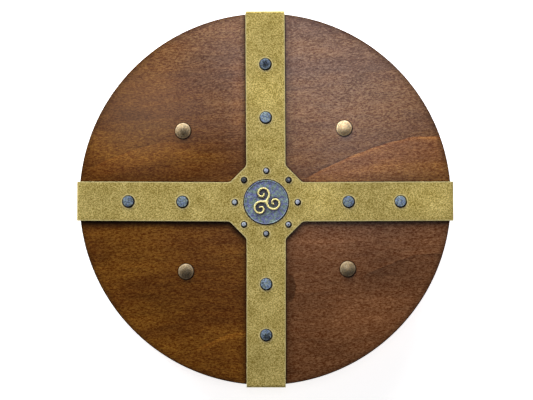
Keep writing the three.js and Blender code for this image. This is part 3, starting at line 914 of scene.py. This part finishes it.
def make_triskele(material):
    """Three spirals joined into one relief."""
    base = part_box("medallion")[1].z - LIP_HEIGHT
    bm = bmesh.new()
    for turn in THIRDS:
        add_spiral(bm, SPIRAL_DIRECTION + turn, base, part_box("triskele")[1].z - base)
    piece = add_piece(finished_mesh("triskele_relief", bm, 180), material, "bright_brass", "triskele")
    joined = piece.modifiers.new("joined", "REMESH")
    joined.mode = "VOXEL"
    joined.voxel_size = VOXEL
    joined.use_smooth_shade = True
    soft = piece.modifiers.new("soft", "SMOOTH")
    soft.factor = 0.5
    soft.iterations = 3


def dome(radius, edge, seat, top):
    """A ball's cap on a short rounded edge, from its underside up."""
    rise = top - seat - edge
    ball = (radius * radius + rise * rise) / (2 * rise)
    start = math.degrees(math.asin((ball - rise) / ball))
    soft = 0.25 * edge
    cap = arc(0, top - ball, ball, start, 90, 20)[:-1]
    return [(radius - soft, seat), (radius, seat + soft), *cap, (0, top)]


def button(radius, shoulder, seat, top):
    """A nearly flat head with a rounded shoulder, from its underside up."""
    crown = 0.12 * (top - seat)
    inner = radius - shoulder
    rim = [(inner + shoulder * x, seat + (top - crown - seat) * y) for x, y in arc(0, 0, 1, 0, 90, 8)[1:]]
    return [(radius - 0.1 * MM, seat), *rim, (inner * 0.6, top - crown * 0.35), (inner * 0.3, top), (0, top)]


def hammered_tail(radius, height, top):
    """A tail spread by the hammer, from its end up to the face it grips."""
    slant = height / 2
    return [
        (0, top - height),
        (radius - slant, top - height * 0.94),
        (radius - slant * 0.3, top - slant * 1.3),
        (radius, top - slant * 0.6),
        (radius, top),
    ]


def dented(mesh, dent, seat):
    """Dents a head a little, more towards its top."""
    top = max(vert.co.z for vert in mesh.vertices)
    for vert in mesh.vertices:
        share = (vert.co.z - seat) / (top - seat)
        if share > 0.3:
            vert.co.z -= share * dent * (noise.noise(vert.co / DENT_SIZE) + 0.6)


def make_rivets():
    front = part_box("cross")[1].z
    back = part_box("board")[0].z
    for node in nodes_named("arm_rivet"):
        profile = [
            *hammered_tail(RIVET_TAIL_RADIUS, RIVET_TAIL_HEIGHT, back),
            (RIVET_SHANK_RADIUS, back),
            (RIVET_SHANK_RADIUS, front),
            *button(head_radius(node), RIVET_SHOULDER, front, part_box(node)[1].z),
        ]
        mesh = turned(node + "_head", profile, middle(node), RIVET_STEPS)
        dented(mesh, RIVET_DENT, front)
        metal = rivet_material(node, *RIVETS[node.removeprefix("arm_rivet_")])
        add_piece(mesh, metal, "blued_steel", node)


def make_nails():
    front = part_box("cross")[1].z
    for node, look in zip(nodes_named("hub_nail"), NAILS):
        low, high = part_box(node)
        profile = [
            (0, low.z),
            (NAIL_SHANK_RADIUS, low.z + NAIL_POINT),
            (NAIL_SHANK_RADIUS, front),
            *button(head_radius(node), NAIL_SHOULDER, front, high.z),
        ]
        mesh = turned(node + "_head", profile, middle(node), NAIL_STEPS)
        dented(mesh, NAIL_DENT, front)
        add_piece(mesh, nail_material(node, *look), "blued_steel", node)


def make_bolts():
    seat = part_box("board")[1].z
    for node in nodes_named("strap_bolt"):
        low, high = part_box(node)
        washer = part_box(node.replace("bolt", "washer"))[0].z
        profile = [
            *hammered_tail(BOLT_TAIL_RADIUS, washer - low.z, washer),
            (BOLT_SHANK_RADIUS, washer),
            (BOLT_SHANK_RADIUS, seat),
            *dome(head_radius(node), BOLT_EDGE, seat, high.z),
        ]
        mesh = turned(node + "_dome", profile, middle(node), BOLT_STEPS)
        dented(mesh, BOLT_DENT, seat)
        metal = dome_material(node, *DOMES[node.removeprefix("strap_bolt_")])
        add_piece(mesh, metal, "bolt_brass", node)


def make_washers(material):
    """Dished rings with a softened lower edge."""
    for node in nodes_named("strap_washer"):
        low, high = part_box(node)
        inner = head_radius(node) - WASHER_EDGE
        dish = low.z + WASHER_DISH_DEPTH
        profile = [
            (0, high.z),
            (inner, high.z),
            *arc(inner, low.z + WASHER_EDGE, WASHER_EDGE, 45, -90, 4),
            (WASHER_DISH_RADIUS, low.z),
            (BOLT_SHANK_RADIUS, dish),
            (0, dish),
        ]
        mesh = turned(node + "_ring", profile, middle(node), WASHER_STEPS)
        keep_flat(add_piece(mesh, material, "bolt_brass", node))


def strap_height(along):
    """A strap's middle height and its lean at a distance from its own middle."""
    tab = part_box("board")[0].z - LEATHER_THICKNESS / 2 - LEATHER_GAP
    crown = LEATHER_THICKNESS / 2
    foot = STRAP_SPAN / 2 - TAB_INWARD
    top = CROWN_LENGTH / 2
    share = min(max((foot - abs(along)) / (foot - top), 0), 1)
    height = tab + (crown - tab) * (1 - math.cos(math.pi * share)) / 2
    slope = (tab - crown) / (foot - top) * math.pi / 2 * math.sin(math.pi * share)
    return height, math.atan(slope) * (1 if along > 0 else -1)


def strap_stations():
    """(distance from the strap's middle, half width) from one rounded end to the other."""
    half = STRAP_WIDTH / 2
    bolt = STRAP_SPAN / 2
    angles = [math.radians(degrees) for degrees in range(86, 0, -8)]
    rounded = [(bolt + half * math.sin(angle), half * math.cos(angle)) for angle in angles]
    one_side = rounded + [(bolt * i / STRAP_ROWS, half) for i in range(STRAP_ROWS, -1, -1)]
    return one_side + [(-along, width) for along, width in reversed(one_side[:-1])]


def make_strap(node, material):
    """A strap with round ends, bent from its bolts down to its flat crown."""
    centre = middle(node).xy
    right, up = polar(1, STRAP_TURNS[node]), polar(1, STRAP_TURNS[node] + 90)
    lift = LEATHER_THICKNESS / 2
    bm = bmesh.new()
    grid = []
    for along, width in strap_stations():
        height, lean = strap_height(along)
        row = []
        for i in range(STRAP_COLUMNS + 1):
            at = centre + right * width * (2 * i / STRAP_COLUMNS - 1) + up * (along - lift * math.sin(lean))
            row.append(bm.verts.new((at.x, at.y, height + lift * math.cos(lean))))
        grid.append(row)
    for first, second in zip(grid, grid[1:]):
        for i in range(STRAP_COLUMNS):
            bm.faces.new((first[i], first[i + 1], second[i + 1], second[i]))
    mesh = finished_mesh(node + "_leather", bm, 60)
    if mesh.polygons[0].normal.z < 0:
        mesh.flip_normals()
    piece = add_piece(mesh, material, "leather", node)
    thicken(piece, "thickness", LEATHER_THICKNESS)
    soften_edges(piece, LEATHER_EDGE)
    keep_flat(piece)


# Studio


def make_floor():
    s = Surface("floor")
    s.set(
        base_color=(0.9, 0.9, 0.9, 1), roughness=0.9, specular_ior_level=0.1,
        emission_color=(1, 1, 1, 1), emission_strength=0.8,
    )
    bm = bmesh.new()
    bmesh.ops.create_grid(bm, x_segments=1, y_segments=1, size=FLOOR_REACH)
    mesh = bpy.data.meshes.new("floor")
    bm.to_mesh(mesh)
    bm.free()
    mesh.materials.append(s.material)
    floor = bpy.data.objects.new("floor", mesh)
    bpy.context.scene.collection.objects.link(floor)


def add_light(name, place, target, size, radiance, colour, turn, mirrored):
    """A soft light panel of a given radiance that faces a target, and may be kept out of reflections."""
    lamp = bpy.data.lights.new(name, "AREA")
    lamp.color = colour
    lamp.shape = "RECTANGLE"
    lamp.size, lamp.size_y = size
    lamp.energy = radiance * math.pi * size[0] * size[1]
    holder = bpy.data.objects.new(name, lamp)
    holder.location = place
    facing = (Vector(target) - Vector(place)).to_track_quat("-Z", "Y").to_matrix().to_4x4()
    spin = facing @ Matrix.Rotation(math.radians(turn), 4, "Z")
    holder.rotation_euler = spin.to_euler()
    holder.visible_camera = False
    holder.visible_glossy = mirrored
    bpy.context.scene.collection.objects.link(holder)


def make_sky():
    """Pale surroundings that dim upwards and stay out of reflections."""
    world = bpy.data.worlds.new("studio")
    bpy.context.scene.world = world
    world.use_nodes = True
    tree = world.node_tree
    place = tree.nodes.new("ShaderNodeTexCoord")
    split = tree.nodes.new("ShaderNodeSeparateXYZ")
    fade = tree.nodes.new("ShaderNodeMapRange")
    fade.interpolation_type = "SMOOTHSTEP"
    for name, value in zip(("From Min", "From Max", "To Min", "To Max"), SKY_FADE + SKY_STRENGTH):
        fade.inputs[name].default_value = value
    background = tree.nodes["Background"]
    background.inputs["Color"].default_value = SKY_COLOUR
    tree.links.new(place.outputs["Generated"], split.inputs[0])
    tree.links.new(split.outputs["Z"], fade.inputs["Value"])
    tree.links.new(fade.outputs[0], background.inputs["Strength"])
    world.cycles_visibility.glossy = False


def make_camera():
    lens = bpy.data.cameras.new("camera")
    lens.lens = CAMERA_LENS
    lens.sensor_width = CAMERA_SENSOR
    camera = bpy.data.objects.new("camera", lens)
    camera.location = Vector((0, 0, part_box("board")[1].z + CAMERA_HEIGHT)) + CAMERA_SHIFT
    bpy.context.scene.collection.objects.link(camera)
    bpy.context.scene.camera = camera


leather = leather_material()

make_board(wood_material())
make_cross(gold_material())
make_medallion(medallion_material())
make_triskele(polished_brass_material("bright_brass", TRISKELE_BRIGHT, TRISKELE_DARK, 0.35, 0.05))
make_rivets()
make_nails()
make_bolts()
make_washers(polished_brass_material("washer_brass", WASHER_BRIGHT, WASHER_DARK, 0.3, 0.9))
make_strap("grip_strap", leather)
make_strap("arm_strap", leather)
make_floor()
bpy.context.scene.view_settings.view_transform = "Standard"
make_sky()
add_light("key", **KEY)
add_light("overhead", **OVERHEAD)
make_camera()
